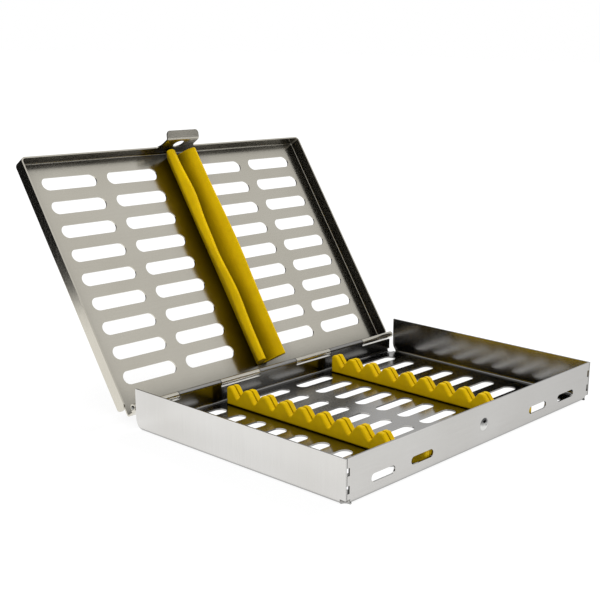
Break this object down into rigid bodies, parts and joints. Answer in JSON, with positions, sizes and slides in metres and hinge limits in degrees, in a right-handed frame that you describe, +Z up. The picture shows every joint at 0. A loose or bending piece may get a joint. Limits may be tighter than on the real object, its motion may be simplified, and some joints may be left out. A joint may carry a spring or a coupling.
{
  "type": "dental instrument cassette",
  "caption": "Perforated steel instrument tray with toothed silicone rails and a hinged perforated lid with a silicone hold-down strip and a snap tab.",
  "frame": {"origin": "middle of the tray's underside, in the plane that it stands on", "axes": "+X to the right along the hinge, +Y from the front wall with the stud to the hinge, +Z up"},
  "size_m": [0.2032, 0.231, 0.1363],
  "materials": {
    "tray_steel": "satin",
    "lid_steel": "satin",
    "pin_steel": "satin",
    "silicone": "satin"
  },
  "bodies": {
    "tray": {"base_tray": "tray_steel", "left_rail": "silicone", "right_rail": "silicone", "latch_stud": "pin_steel", "hinge_pin": "pin_steel"},
    "lid": {"lid_shell": "lid_steel", "lid_strip": "silicone"}
  },
  "joints": [
    {"name": "lid_hinge", "type": "hinge", "parent": "tray", "child": "lid", "pos_m": [0, 0.071, 0.0106], "axis": [1, 0, 0], "range_deg": [0, 124]}
  ]
}
